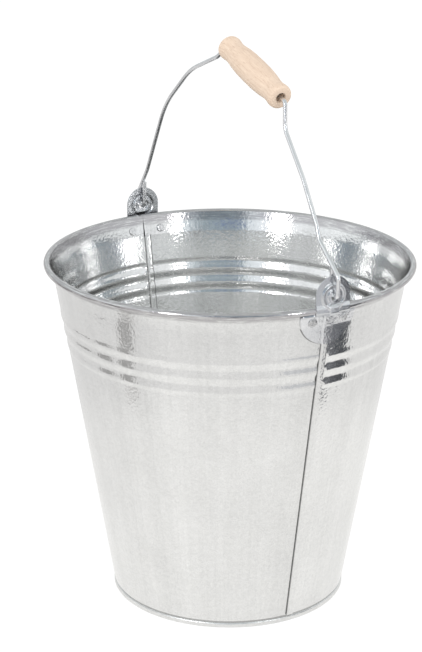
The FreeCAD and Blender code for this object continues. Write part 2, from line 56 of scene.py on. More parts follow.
camera_data = bpy.data.cameras.new("camera")
camera_data.lens = 104.37
camera_data.shift_x = -0.0295
camera_data.shift_y = 0.0023
camera_data.clip_end = 100
camera = bpy.data.objects.new("camera", camera_data)
camera_place = Vector((1.27897, -0.76719, 0.73301))
camera_right = Vector((0.512796, 0.858486, 0.006476))
camera_up = Vector((-0.278831, 0.159409, 0.947018))
camera_turn = Matrix((camera_right, camera_up, camera_right.cross(camera_up))).transposed()
camera.matrix_world = Matrix.Translation(camera_place) @ camera_turn.to_4x4()
bpy.context.collection.objects.link(camera)
bpy.context.scene.camera = camera
bpy.context.scene.view_settings.view_transform = "Standard"


class Wire:
    """An output in a node tree. Arithmetic on it adds Math nodes, and node() adds any other node."""

    def __init__(self, tree, socket=None):
        self.tree = tree
        self.socket = socket

    def node(self, kind, settings=None, sockets=None, output=None):
        """Adds a node, makes its settings, then sets or links its sockets, and gives one of its outputs."""
        new = self.tree.nodes.new(kind if "Node" in kind else "ShaderNode" + kind)
        for name, value in (settings or {}).items():
            if name == "stops":
                elements = new.color_ramp.elements
                while len(elements) < len(value):
                    elements.new(0.5)
                for element, (place, colour) in zip(elements, value):
                    element.position = place
                    element.color = colour
            else:
                setattr(new, name, value)
        for name, value in (sockets or {}).items():
            live = [s for s in new.inputs if s.enabled]
            socket = ([s for s in live if s.identifier == name] + [s for s in live if s.name == name])[0]
            if isinstance(value, Wire):
                self.tree.links.new(value.socket, socket)
            else:
                socket.default_value = value
        live = [s for s in new.outputs if s.enabled]
        chosen = next(s for s in live if output in (None, s.name)) if live else None
        return Wire(self.tree, chosen)

    def maths(self, operation, *values):
        """A Math node on one or two values."""
        return self.node("Math", {"operation": operation}, dict(zip(("Value", "Value_001"), values)))

    def __add__(self, other):
        return self.maths("ADD", self, other)

    def __radd__(self, other):
        return self.maths("ADD", other, self)

    def __sub__(self, other):
        return self.maths("SUBTRACT", self, other)

    def __rsub__(self, other):
        return self.maths("SUBTRACT", other, self)

    def __mul__(self, other):
        return self.maths("MULTIPLY", self, other)

    def __rmul__(self, other):
        return self.maths("MULTIPLY", other, self)

    def __truediv__(self, other):
        return self.maths("DIVIDE", self, other)

    def __rtruediv__(self, other):
        return self.maths("DIVIDE", other, self)

    def __abs__(self):
        return self.maths("ABSOLUTE", self)

    def step(self, low, high, to_low=0.0, to_high=1.0):
        """A smooth rise between two levels, held flat beyond them."""
        sockets = {"Value": self, "From Min": low, "From Max": high, "To Min": to_low, "To Max": to_high}
        return self.node("MapRange", {"interpolation_type": "SMOOTHSTEP"}, sockets)


def new_tree(block):
    block.use_nodes = True
    block.node_tree.nodes.clear()
    return Wire(block.node_tree)


def parts_of(vector):
    return [vector.node("SeparateXYZ", sockets={"Vector": vector}, output=axis) for axis in "XYZ"]


def length_of(vector):
    return vector.node("VectorMath", {"operation": "LENGTH"}, {"Vector": vector}, "Value")


def blend(share, colour, other):
    """A colour with that share of another in it."""
    return share.node("Mix", {"data_type": "RGBA"}, {"Factor": share, "A": colour, "B": other}, "Result")


room_tones = {
    -180: (0.78, 0.82, 0.83), -152: (0.82, 0.86, 0.87), -135: (1.02, 1.06, 1.08), -112: (1.14, 1.18, 1.20),
    -78: (1.0, 1.03, 1.06), -54: (0.95, 1.0, 1.06), -44: (0.95, 1.02, 1.07), -38: (0.36, 0.43, 0.48),
    -13: (0.33, 0.41, 0.46), -4: (0.66, 0.74, 0.80), 8: (1.02, 1.04, 1.06), 40: (0.96, 0.99, 1.01),
    75: (0.88, 0.91, 0.93), 105: (0.82, 0.845, 0.84), 180: (0.78, 0.82, 0.83)}
overhead = (0.76, 0.80, 0.80, 1)
plain_light = (0.92, 0.92, 0.92, 1)
world = bpy.data.worlds.new("studio")
bpy.context.scene.world = world
pen = new_tree(world)
toward_x, toward_y, toward_z = parts_of(pen.node("TexCoord", output="Generated"))
share_of_turn = pen.maths("ARCTAN2", toward_y, toward_x) * (0.5 / math.pi) + 0.5
stops = [((bearing + 180) / 360, (*tone, 1)) for bearing, tone in room_tones.items()]
around = pen.node("ValToRGB", {"stops": stops}, {"Fac": share_of_turn}, "Color")
low_down = blend(toward_z.step(0.03, 0.14, 0.42, 0.0), around, (0, 0, 0, 1))
sky = blend(toward_z.step(0.42, 0.75), low_down, overhead)
room = blend(pen.node("LightPath", output="Is Glossy Ray"), plain_light, sky)
colour = blend(pen.node("LightPath", output="Is Camera Ray"), room, (1, 1, 1, 1))
backdrop = pen.node("Background", sockets={"Color": colour, "Strength": 1.0})
pen.node("OutputWorld", sockets={"Surface": backdrop})

floor_half = 30
floor_mesh = bpy.data.meshes.new("floor")
floor_corners = [(x * floor_half, y * floor_half, 0) for x, y in ((-1, -1), (1, -1), (1, 1), (-1, 1))]
floor_mesh.from_pydata(floor_corners, [], [(0, 1, 2, 3)])
floor = bpy.data.objects.new("floor", floor_mesh)
bpy.context.collection.objects.link(floor)
floor_paint = bpy.data.materials.new("white_sweep")
pen = new_tree(floor_paint)
matt = pen.node("BsdfDiffuse", sockets={"Color": (0.93, 0.93, 0.93, 1)})
place = pen.node("TexCoord", output="Object")
floor_x, floor_y, _ = parts_of(place)
far = length_of(place).step(0.31, 0.50)
dim_side = (floor_x * -0.77 + floor_y * -0.64).step(0.08, 0.36)
sheen_colour = blend(far * 0.7 + dim_side * 0.4, (1.02, 1.015, 0.995, 1), (0.80, 0.795, 0.79, 1))
sheen = pen.node("Emission", sockets={"Color": sheen_colour, "Strength": 1.0})
glow = pen.node("Emission", sockets={"Color": (1, 1, 1, 1), "Strength": 1.08})
mirrored_share = pen.node("LightPath", output="Is Glossy Ray") * 0.85
seen_share = pen.node("LightPath", output="Is Camera Ray") * 0.88
below = pen.node("MixShader", sockets={"Fac": mirrored_share, "Shader": matt, "Shader_001": sheen})
swept = pen.node("MixShader", sockets={"Fac": seen_share, "Shader": below, "Shader_001": glow})
pen.node("OutputMaterial", sockets={"Surface": swept})
floor_mesh.materials.append(floor_paint)


def card_paint(name, colour, strength=1.0):
    paint = bpy.data.materials.new(name)
    pen = new_tree(paint)
    light = pen.node("Emission", sockets={"Color": colour, "Strength": strength})
    pen.node("OutputMaterial", sockets={"Surface": light})
    return paint


def mirrored_card(name, corners, paint):
    """A card that only the metal mirrors, from four (bearing in degrees, distance, height) corners."""
    verts = [(away * math.cos(math.radians(bearing)), away * math.sin(math.radians(bearing)), height)
             for bearing, away, height in corners]
    mesh = bpy.data.meshes.new(name)
    mesh.from_pydata(verts, [], [(0, 1, 2, 3)])
    mesh.materials.append(paint)
    card = bpy.data.objects.new(name, mesh)
    card.visible_camera = card.visible_diffuse = card.visible_shadow = False
    bpy.context.collection.objects.link(card)


card_distance = 0.45
strip_distance = 1.6


def standing_card(name, foot, head, low, high, paint, away=card_distance):
    """An upright card that spans two bearings at its foot and two at its head."""
    feet = [(bearing, away, low) for bearing in foot]
    heads = [(bearing, away, high) for bearing in reversed(head)]
    mirrored_card(name, feet + heads, paint)


def lying_card(name, bearings, start, end, paint, height=0.001):
    """A card that lies just over the floor, between two bearings and two distances."""
    near_edge = [(bearing, start, height) for bearing in bearings]
    far_edge = [(bearing, end, height) for bearing in reversed(bearings)]
    mirrored_card(name, near_edge + far_edge, paint)


black = card_paint("black_card", (0.035, 0.04, 0.05, 1))
blue = card_paint("blue_card", (0.16, 0.23, 0.40, 1))
dark_grey = card_paint("dark_grey_card", (0.10, 0.105, 0.12, 1))
middle_grey = card_paint("middle_grey_card", (0.40, 0.395, 0.39, 1))
light_grey = card_paint("light_grey_card", (0.64, 0.63, 0.62, 1))
white = card_paint("white_card", (1, 1, 1, 1), 9.0)
grey = card_paint("grey_card", (0.68, 0.69, 0.71, 1))
standing_card("card_right", (37.5, 46.5), (31.4, 40.8), 0.0, 0.27, black)
standing_card("card_right_low", (28.7, 37.5), (25.8, 33.8), 0.0, 0.165, dark_grey)
standing_card("card_right_high", (23.0, 33.1), (22.0, 31.4), 0.193, 0.27, dark_grey)
standing_card("card_ear", (27, 29), (21, 25.5), 0.04, 0.12, dark_grey)
lying_card("card_foot", (27, 34.5), 0.408, 0.47, dark_grey)
standing_card("card_left", (-102, -92), (-98, -88), 0.01, 0.25, middle_grey)
lying_card("card_left_foot", (-102, -92), 0.402, card_distance, light_grey)
standing_card("card_left_middle", (-118, -106), (-118, -106), 0.08, 0.25, middle_grey)
standing_card("card_left_far", (-143, -124), (-143, -124), 0.12, 0.25, middle_grey)
standing_card("strip_left", (-71, -61), (-71, -61), 0.36, 1.15, white, strip_distance)
standing_card("strip_right", (5.5, 9), (5.5, 9), 0.36, 1.1, white, strip_distance)
standing_card("card_front", (-30, -24), (-30, -24), 0.19, 0.25, black)
standing_card("card_camera", (-44, -20), (-44, -20), 0.395, 0.425, blue)
lying_card("card_flat", (2, 46), 0.72, strip_distance, grey, 0.002)


def soft_box(name, place, target, width, height, power):
    light = bpy.data.lights.new(name, "AREA")
    light.shape = "RECTANGLE"
    light.size = width
    light.size_y = height
    light.energy = power
    lamp = bpy.data.objects.new(name, light)
    lamp.location = place
    lamp.rotation_euler = (Vector(target) - Vector(place)).to_track_quat("-Z", "Y").to_euler()
    lamp.visible_glossy = False
    bpy.context.collection.objects.link(lamp)


soft_box("soft_box_left", (1.1, -2.15, 1.25), (0, 0, 0.2), 0.45, 1.7, 13)
soft_box("soft_box_right", (2.4, 0.4, 1.45), (0, 0, 0.25), 0.35, 1.5, 8)

# ------------------------------------------------------------------ body panels
# Two equal sheets of thin galvanised steel, rolled to half a cone each. Three beads are pressed into the
# upper wall, the top is curled round a wire, and the long edges are folded together in two flat lock seams.

MM = 0.001
sheet = 0.45 * MM
play = 0.04 * MM  # left open between two folded layers
layer = sheet + play

ring_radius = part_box("bottom_disc")[1][0]
ring_height = 4.5 * MM
hook_top = 3.6 * MM
hook_clear = 0.24 * MM
foot_radius = ring_radius - 1.1 * MM
flare = 0.1682  # gained in radius for each unit of height
tuck = 5.4 * MM  # where the wall leaves the ring

beads_foot = 205 * MM
bead_middle = 231.6 * MM
bead_pitch = 12.6 * MM
bead_swing = 0.5 * MM  # half of a bead's depth
bead_stand = 0.3 * MM  # how far the beaded band stands out at its middle
bead_gain = 0.024  # and how much further for each unit of height
upper_step = 0.65 * MM
neck = 271.5 * MM

wire_low, wire_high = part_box("rim_wire")
rim_wire_radius = (wire_high[2] - wire_low[2]) / 2
rim_height = (wire_high[2] + wire_low[2]) / 2
rim_radius = wire_high[0] - rim_wire_radius
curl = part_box("body_panel_rear")[1][0] - rim_radius - sheet
curl_turn = 4.99  # radians of sheet round the wire

seam_half = 3.2 * MM
seam_foot = 6.0 * MM
seam_top = neck - 0.3 * MM


def wall(height):
    return foot_radius + flare * height


def outward_offset(points, distance, sharpest=0.35):
    """Moves an open run of (r, z) points sideways by a distance, to the right of the way it runs."""
    points = np.asarray(points)
    runs = np.diff(points, axis=0)
    runs /= np.linalg.norm(runs, axis=1)[:, None]
    sides = np.stack([runs[:, 1], -runs[:, 0]], axis=1)
    first = np.vstack([sides[:1], sides])
    second = np.vstack([sides, sides[-1:]])
    middle = first + second
    middle /= np.maximum(np.sum(middle * first, axis=1), sharpest)[:, None]
    return points + middle * distance


def arc_points(centre, radius, start, end, count):
    angles = np.linspace(start, end, count)
    return np.stack([centre[0] + radius * np.cos(angles), centre[1] + radius * np.sin(angles)], axis=1)


def smoothed(values, reach, ends):
    """A run of values, each averaged with those within reach on either side of it."""
    weights = np.exp(-np.linspace(-1.8, 1.8, 2 * reach + 1) ** 2)
    return np.convolve(np.pad(values, reach, mode=ends), weights / weights.sum(), mode="valid")


def wall_run(beads):
    """Outer face of the wall from the tuck over the foot ring to the neck, its beads full at 1, out at 0."""
    pitch = 0.4 * MM
    heights = np.concatenate([np.linspace(tuck, beads_foot, 30), np.arange(beads_foot + pitch, neck, pitch)])
    waves = bead_swing * np.cos((heights - bead_middle) / bead_pitch * 2 * math.pi)
    low = bead_middle - bead_pitch * 1.25
    high = bead_middle + bead_pitch * 1.25
    proud = np.where((heights > low) & (heights < high),
                     bead_stand + bead_gain * (heights - bead_middle) + waves * beads, 0)
    proud = np.where(heights >= high, upper_step, proud)
    fine = heights > beads_foot
    proud[fine] = smoothed(proud[fine], 4, "edge")
    return np.stack([wall(heights) + proud, heights], axis=1)


def panel_section(beads):
    """Closed section of a panel: its foot hook, wall and curl, and back along the inside of the sheet."""
    seat = ring_radius - layer * 3
    hook = seat + layer + play
    fold = sheet * 2 + hook_clear
    foot = [(hook, hook_top), (hook, fold), (seat, fold), (seat, ring_height)]
    start = Vector((wall(neck) + upper_step, neck))
    to_rim = Vector((rim_radius, rim_height)) - start
    heading = math.atan2(to_rim.y, to_rim.x) + math.asin(curl / to_rim.length) + math.pi / 2
    sweep = arc_points((rim_radius, rim_height), curl, heading, heading - curl_turn, 30)
    run = np.vstack([foot, wall_run(beads), sweep])
    return np.vstack([run, outward_offset(run, -sheet)[::-1]])


def ring_faces(rows, columns, closed_rows=True, closed_columns=False):
    """Faces of a grid whose vertices run column by column."""
    faces = []
    for column in range(columns if closed_columns else columns - 1):
        for row in range(rows if closed_rows else rows - 1):
            a = column * rows + row
            b = column * rows + (row + 1) % rows
            c = (column + 1) % columns * rows
            faces.append((a, b, c + (row + 1) % rows, c + row))
    return faces


def add_mesh(name, verts, faces, material, smooth_angle=35):
    """A closed mesh with its doubles merged, its normals outwards and its sharp edges kept."""
    mesh = bpy.data.meshes.new(name)
    mesh.from_pydata([tuple(map(float, v)) for v in verts], [], faces)
    work = bmesh.new()
    work.from_mesh(mesh)
    bmesh.ops.remove_doubles(work, verts=work.verts, dist=1e-6)
    bmesh.ops.recalc_face_normals(work, faces=work.faces)
    work.to_mesh(mesh)
    work.free()
    mesh.shade_smooth()
    mesh.set_sharp_from_angle(angle=math.radians(smooth_angle))
    mesh.materials.append(material)
    piece = bpy.data.objects.new(name, mesh)
    bpy.context.collection.objects.link(piece)
    return piece


def dress(piece, body, slot, *nodes):
    """The piece stands for these CAD nodes and moves with that body. The slot is not used."""
    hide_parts(*nodes)
    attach(piece, body)


def turned(verts, angle):
    """The same points turned about the upright axis."""
    c, s = math.cos(angle), math.sin(angle)
    x, y, z = np.asarray(verts).T
    return np.stack([x * c - y * s, x * s + y * c, z], axis=1)


ear_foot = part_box("ear_right")[0][2]
lobe_radius = 24.5 * MM
lobe_top = ear_foot + lobe_radius + 0.4 * MM


def noise(place, scale, detail, dimensions="3D"):
    """Cloudy noise from 0 to 1, read at a place, or at a plain value where it has one dimension."""
    where = "W" if dimensions == "1D" else "Vector"
    return place.node("TexNoise", {"noise_dimensions": dimensions}, {
        where: place, "Scale": scale, "Detail": detail}, "Fac")


def painted_shade_lines(pen, x, y, z, depth):
    """Painted shade: dark lines on the wall where shade falls in the gaps at each seam's edge, round the
    lobe of each ear, and over the foot ring.
    """
    seam_edge = seam_half + 0.15 * MM
    seam = abs(y * pen.maths("SIGN", x) + seam_edge).step(0.35 * MM, 0.55 * MM, depth, 0.0)
    from_lobe = length_of(pen.node("CombineXYZ", sockets={"X": y, "Y": z - lobe_top}))
    lobe = abs(from_lobe - (lobe_radius + 0.2 * MM)).step(0.3 * MM, 0.8 * MM, depth * 1.3, 0.0)
    from_axis = length_of(pen.node("CombineXYZ", sockets={"X": x, "Y": y}))
    outside = (from_axis - z * flare - (foot_radius + upper_step - sheet / 2)).step(-0.05 * MM, 0.05 * MM)
    lobe = lobe * z.step(lobe_top - 2 * MM, lobe_top, 1.0, 0.0) * outside
    over_ring = z.step(ring_height + 0.5 * MM, ring_height + 2 * MM)
    under_curl = z.step(neck - 0.5 * MM, neck + 0.5 * MM, 1.0, 0.0)
    ring = abs(z - (ring_height + 0.7 * MM)).step(0.4 * MM, 1.1 * MM, depth, 0.0)
    return pen.maths("MAXIMUM", pen.maths("MAXIMUM", seam, lobe) * over_ring * under_curl, ring)


def galvanised(name, base, dark, roughness=0.11, shade_and_wear=0.0):
    """Zinc-coated steel: clouds, crystal grain, bands down the wall, a few hairs, and painted shade in the
    gaps at the seams.
    """
    material = bpy.data.materials.new(name)
    pen = new_tree(material)
    place = pen.node("TexCoord", output="Object")
    x, y, z = parts_of(place)
    bearing = pen.maths("ARCTAN2", y, x)
    unrolled = pen.node("CombineXYZ", sockets={"X": bearing * (130 * MM), "Y": z})
    cloud = noise(place, 22.0, 3.0)
    crystals = pen.node("TexVoronoi", {"feature": "F1"}, {
        "Vector": place, "Scale": 420.0, "Randomness": 1.0}, "Color")
    grain = pen.node("SeparateColor", sockets={"Color": crystals}, output="Red")
    speckle = noise(place, 900.0, 1.0)
    pebble = noise(place, 430.0, 1.0)
    long_lines = pen.node("Mapping", sockets={"Vector": unrolled, "Scale": (380.0, 7.0, 1.0)})
    drawn = noise(long_lines, 1.0, 3.0, "2D")
    bands = noise(bearing * 4.0, 1.0, 2.0, "1D")
    hairs = 0.0
    scratches = ((1.35, 16 * MM, 0.7 * MM), (1.75, 22 * MM, 0.6 * MM), (0.7, 12 * MM, 0.7 * MM))
    for index, (turn, length, width) in enumerate(scratches):
        laid = pen.node("Mapping", {"vector_type": "TEXTURE"}, {
            "Vector": unrolled, "Rotation": (0, 0, turn), "Location": (index * 3.1, 1.7, 0),
            "Scale": (width, length, 1.0)})
        hairs = noise(laid, 1.0, 0.0, "2D").step(0.79, 0.87) + hairs
    shade = 0.62 + (cloud - 0.5) * 0.45 + (grain - 0.5) * 0.16 + (drawn - 0.5) * 0.24
    shade = shade + (speckle - 0.5) * 0.55 + (bands - 0.5) * 0.6 - hairs * 0.12
    round_rim = pen.node("CombineXYZ", sockets={
        "X": bearing * 14.0, "Y": z * 900.0, "Z": (x * x + y * y) * 3000.0})
    near_rim = z.step(279 * MM, 283 * MM)
    worn = noise(round_rim, 1.0, 3.0).step(0.32, 0.62, 0.25, 1.0) * near_rim
    # The near-black is painted shade for the gaps at the seams, round the ear lobes and over the foot ring;
    # the purple grey is zinc rubbed at the rim.
    rubbed, gap_shade = (0.37, 0.35, 0.37, 1), (0.05, 0.05, 0.05, 1)
    tone = blend(shade - worn * 1.3, dark, base)
    tone = blend(worn * shade_and_wear * 1.2, tone, rubbed)
    # Painted shade: dark lines where the wall meets the seam folds, the ear lobes and the foot ring.
    tone = blend(painted_shade_lines(pen, x, y, z, shade_and_wear), tone, gap_shade)
    rough = roughness + (cloud - 0.5) * 0.10 + (speckle - 0.5) * 0.14 + hairs * 0.05
    on_ring = z.step(ring_height - 0.1 * MM, ring_height + 0.5 * MM, 1.0, 0.0)
    rough = rough + on_ring * 0.22
    relief = drawn * 0.55 + cloud * 1.2 + speckle * 0.4 + pebble * 2.8 - hairs * 0.03
    bump = pen.node("Bump", sockets={"Height": relief, "Strength": 0.08, "Distance": 0.6 * MM})
    surface = pen.node("BsdfPrincipled", sockets={
        "Base Color": tone, "Metallic": 0.94, "Roughness": rough, "Normal": bump})
    pen.node("OutputMaterial", sockets={"Surface": surface})
    return material


# Only the wall sheet takes the painted shade in the gaps and the rubbed rim.
sheet_steel = galvanised("galvanised_sheet", (0.87, 0.87, 0.865, 1), (0.60, 0.60, 0.595, 1), shade_and_wear=0.5)


def outer_fold():
    """The sheet that covers the seam: joggled out over it, then folded back underneath."""
    outer = layer * 3
    bend = (outer - play) / 2
    shoulder = seam_half - 0.8 * MM
    tail = [(0.2 * MM, shoulder + 0.9 * MM), (outer, shoulder), (outer, bend - seam_half)]
    turn = arc_points((outer - bend, bend - seam_half), bend, 0, -math.pi, 12)
    return np.vstack([tail, turn[1:], [(play, shoulder - 1.1 * MM)]])


def inner_fold():
    """The sheet that runs under the seam and is folded back inside it."""
    back = layer + play
    bend = back / 2
    turn = seam_half - 1.65 * MM
    curve = arc_points((bend, turn), bend, math.pi, 0, 8)
    return np.vstack([[(0, turn - 1.0 * MM)], curve, [(back, 0.9 * MM - seam_half)]])


def up_the_seam(run, thickness, turn):
    """A folded edge drawn out straight up the wall's slope."""
    section = np.vstack([run, outward_offset(run, thickness)[::-1]])
    heights = np.linspace(seam_foot, seam_top, 48)
    verts = [(math.sqrt((wall(z) + out) ** 2 - aside ** 2), aside, z)
             for z in heights for out, aside in section]
    count = len(section)
    faces = ring_faces(count, len(heights))
    faces += [tuple(range(count)), tuple(range(len(verts) - count, len(verts)))]
    return turned(verts, turn), faces


def rise(value, low, high):
    """Smooth step from 0 at low to 1 at high."""
    part = np.clip((value - low) / (high - low), 0, 1)
    return part * part * (3 - 2 * part)


def waver(angle, heights):
    """The slight unevenness that rolling leaves in a thin wall, held down at the ring and at the beads."""
    slow = np.sin(angle * 5 + heights * 21) + 0.7 * np.sin(angle * 11 - heights * 34 + 1.3)
    quick = 0.35 * np.sin(angle * 27 + heights * 62 + 0.4)
    free = rise(heights, 12 * MM, 60 * MM) * (1 - rise(heights, beads_foot, 262 * MM))
    return 0.06 * MM * (slow + quick) * free


def panel(name, turn):
    """One half of the wall. Its columns of points lie closer together towards the seams."""
    beaded, plain = panel_section(1.0), panel_section(0.0)
    heights = beaded[:, 1]
    columns, crowding = 181, 0.35
    mean_radius = 140 * MM
    in_seam = (heights > seam_foot - 0.3 * MM) & (heights < neck) & (beaded[:, 0] < wall(neck) + upper_step)
    join = 1.8 * MM
    first = np.where(in_seam, seam_half + 0.1 * MM, join + 0.12 * MM) / beaded[:, 0]
    last = math.pi + join / beaded[:, 0]
    eased = (1 - np.cos(np.linspace(0, math.pi, columns))) / 2
    verts = []
    for step in eased * crowding + np.linspace(0, 1 - crowding, columns):
        angle = first + (last - first) * step
        aside = np.minimum(step, 1 - step) * math.pi * mean_radius
        fade = rise(aside, 0.1 * MM, 1.8 * MM) if step < 0.5 else 1.0
        section = plain + (beaded - plain) * fade
        radii = section[:, 0] + waver(angle + turn, heights) * rise(aside, 0, 20 * MM)
        verts += list(np.stack([radii * np.cos(angle), radii * np.sin(angle), heights], axis=1))
    count = len(beaded)
    faces = ring_faces(count, columns)
    faces += [tuple(range(count)), tuple(range(len(verts) - count, len(verts)))]
    for fold_run, thickness, fold_turn in ((outer_fold(), sheet, 0), (inner_fold(), -sheet, math.pi)):
        more, more_faces = up_the_seam(fold_run, thickness, fold_turn)
        faces += [tuple(index + len(verts) for index in face) for face in more_faces]
        verts += list(more)
    piece = add_mesh(name + "_sheet", turned(verts, turn), faces, sheet_steel)
    dress(piece, "bucket", "galvanised_sheet", name)


panel("body_panel_rear", 0)
panel("body_panel_front", math.pi)

# ------------------------------------------------------------------ bottom and foot ring
# A round of the same sheet with a raised middle. Its edge goes down, under and up the outside, and over the
# wall's hook, so that the bucket stands on the folded ring.


def spun(section, steps=288):
    """A section turned once round the upright axis."""
    return [(r * math.cos(a), r * math.sin(a), z)
            for a in np.linspace(0, 2 * math.pi, steps, endpoint=False) for r, z in section]


def bottom():
    cover = ring_radius - layer * 3 + play
    chuck = cover - layer * 2
    low, raised = 3.4 * MM, 4.6 * MM
    raised_edge, step_foot, soft = 82 * MM, 89 * MM, 0.15 * MM
    corner, crown = 0.6 * MM, 1.7 * MM
    cover_end = 1.4 * MM
    run = np.vstack([
        [(0.0, raised), (raised_edge, raised), (raised_edge + 2 * MM, raised - soft),
         (step_foot - 2 * MM, low + soft), (step_foot, low), (chuck - 0.5 * MM, low),
         (chuck, low - 0.4 * MM)],
        arc_points((chuck + corner, corner), corner, math.pi, 1.5 * math.pi, 6),
        arc_points((ring_radius - corner, corner), corner, -math.pi / 2, 0, 6),
        arc_points((ring_radius - crown, ring_height - crown), crown, -0.35, math.pi / 2, 10),
        [(cover, ring_height), (cover, cover_end)]])
    section = np.vstack([run, outward_offset(run, -sheet)[::-1]])
    verts = spun(section)
    faces = ring_faces(len(section), len(verts) // len(section), closed_columns=True)
    piece = add_mesh("bottom_disc_sheet", verts, faces, sheet_steel)
    dress(piece, "bucket", "galvanised_sheet", "bottom_disc")


bottom()

# ------------------------------------------------------------------ rim wire
# A hoop of round steel wire. The top edges of the panels are curled over it, so it shows only as a dark line
# where the curl ends under the rim.


def drawn_steel(name, base, dark, roughness):
    """Zinc-coated wire: bright, with streaks that wind slowly round it and dull spots."""
    material = bpy.data.materials.new(name)
    pen = new_tree(material)
    place = pen.node("TexCoord", output="Object")
    cloud = noise(place, 120.0, 4.0)
    along = pen.node("Attribute", {"attribute_name": "along"}, output="Fac")
    around = pen.node("Attribute", {"attribute_name": "around"}, output="Fac")
    wound = pen.node("CombineXYZ", sockets={"X": along * 14.0 + around * 2.0, "Y": around * 3.0})
    streak = noise(wound, 2.4, 3.0, "2D")
    rings = pen.maths("SINE", along * 1500.0 + around * (2 * math.pi))
    shade = (cloud - 0.5) * 0.5 + (streak - 0.5) * 1.2 + 0.6
    rough = roughness + (streak - 0.5) * 0.2
    bump = pen.node("Bump", sockets={
        "Height": rings * 0.2 + streak * 2.0, "Strength": 0.14, "Distance": 0.2 * MM})
    surface = pen.node("BsdfPrincipled", sockets={
        "Base Color": blend(shade, dark, base), "Metallic": 1.0, "Roughness": rough, "Normal": bump})
    pen.node("OutputMaterial", sockets={"Surface": surface})
    return material


wire_steel = drawn_steel("drawn_wire", (0.80, 0.81, 0.82, 1), (0.34, 0.35, 0.36, 1), 0.26)


def rim_hoop():
    section = arc_points((rim_radius, rim_height), rim_wire_radius, 0, 2 * math.pi, 21)[:-1]
    verts = spun(section)
    faces = ring_faces(len(section), len(verts) // len(section), closed_columns=True)
    piece = add_mesh("rim_wire_hoop", verts, faces, wire_steel)
    dress(piece, "bucket", "wire_steel", "rim_wire")


rim_hoop()

# ------------------------------------------------------------------ ears
# Two pressed plates of galvanised steel, riveted over the seams. Each wraps out under the rolled rim and up
# round it. A rib runs up from the open bottom edge to a raised boss with a dished ring round the hinge eye.

ear_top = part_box("ear_right")[1][2]
hinge_height = next(j["pos_m"][2] for j in frame["joints"] if j["name"] == "bail_swing")
ear_sheet = 1.0 * MM
tongue_half = 15.3 * MM
tongue_centre = ear_top - tongue_half
eye_radius = 2.8 * MM
bends_low, bends_high = 280 * MM, 292 * MM
pressed_steel = galvanised("pressed_steel", (0.90, 0.90, 0.91, 1), (0.60, 0.61, 0.63, 1), roughness=0.18)


def rounded(corners, spacing):
    """Points along a run of (x, y, bend radius) corners, with an arc in place of each bend."""
    points = [Vector(corners[0][:2])]
    for before, (x, y, bend), after in zip(corners, corners[1:], corners[2:]):
        here = Vector((x, y))
        back = (Vector(before[:2]) - here).normalized()
        on = (Vector(after[:2]) - here).normalized()
        turn = math.pi - back.angle(on)
        cut_back = bend * math.tan(turn / 2)
        centre = here + (back + on).normalized() * bend / math.cos(turn / 2)
        start, end = here + back * cut_back - centre, here + on * cut_back - centre
        first = math.atan2(start.y, start.x)
        sweep = (math.atan2(end.y, end.x) - first + math.pi) % (2 * math.pi) - math.pi
        steps = max(3, math.ceil(bend * turn / spacing))
        angles = [first + sweep * k / steps for k in range(steps + 1)]
        points += [centre + bend * Vector((math.cos(angle), math.sin(angle))) for angle in angles]
    return np.array([tuple(p) for p in points + [Vector(corners[-1][:2])]])


def ear_back():
    """Inner face of the ear as radius against height: up the wall, out under the curl, round it, and up."""
    corners = [
        (141.58, 250.0, 0), (144.02, 271.5, 6.0), (146.9, 282.0, 1.6), (153.0, 284.95, 1.3),
        (153.0, 288.2, 1.2), (151.6, 291.0, 2.5), (151.6, 320.0, 0)]
    return rounded([(r * MM, z * MM, bend * MM) for r, z, bend in corners], 0.2 * MM)


def ear_outline(spacing):
    """Front outline of an ear (across, height), anticlockwise from the right end of the lobe's top."""
    corners = [(lobe_radius, lobe_top, 0), (lobe_radius - 1 * MM, lobe_top + 1.6 * MM, 1.2 * MM),
               (tongue_half, lobe_top + 2.4 * MM, 0.8 * MM), (tongue_half, tongue_centre, 0)]
    side = rounded(corners, spacing)
    crown = arc_points((0, tongue_centre), tongue_half, 0, math.pi, 60)
    lobe = arc_points((0, lobe_top), lobe_radius, math.pi, 2 * math.pi, 90)
    return np.vstack([side[:-1], crown, (side * (-1, 1))[::-1][1:], lobe[1:-1]])


def pressed_height(across, height):
    """How far the face stands out from the plain sheet at each place: rib, boss, dished ring and eye lip."""
    boss_height, dish_depth, lip_height, rib_height = 1.2 * MM, 0.75 * MM, 0.25 * MM, 1.4 * MM
    rib_half, flank_width = 4.5 * MM, 0.9 * MM
    distance = np.hypot(across, height - hinge_height)
    boss = boss_height * (1 - rise(distance, 9.4 * MM, 11.4 * MM))
    boss -= dish_depth * rise(distance, 5.2 * MM, 6.3 * MM) * (1 - rise(distance, 7.9 * MM, 9.0 * MM))
    boss += lip_height * (1 - rise(distance, 3.2 * MM, 4.6 * MM))
    swing = 1.0 * MM * rise(height, 286 * MM, 291 * MM)
    flank = np.clip((rib_half - np.abs(across + swing)) / flank_width, 0, 1)
    rib = rib_height * flank * (1 - rise(height, 288 * MM, 294 * MM))
    return np.maximum(boss, rib)


def well_inside(outline, eye, grid, margin):
    """The grid points that lie inside the outline and outside the eye, clear of both by a margin."""
    grid = np.asarray(grid)
    keep = np.zeros(len(grid), bool)
    ahead = np.roll(outline, -1, axis=0)
    for (x1, y1), (x2, y2) in zip(outline, ahead):
        crosses = (y1 > grid[:, 1]) != (y2 > grid[:, 1])
        if y1 != y2:
            at = x1 + (grid[:, 1] - y1) / (y2 - y1) * (x2 - x1)
            keep ^= crosses & (grid[:, 0] < at)
    edge = np.vstack([outline, eye])
    near = np.min(np.hypot(grid[:, None, 0] - edge[None, :, 0], grid[:, None, 1] - edge[None, :, 1]), axis=1)
    apart = np.hypot(grid[:, 0], grid[:, 1] - hinge_height) > eye_radius
    return grid[keep & apart & (near > margin)]


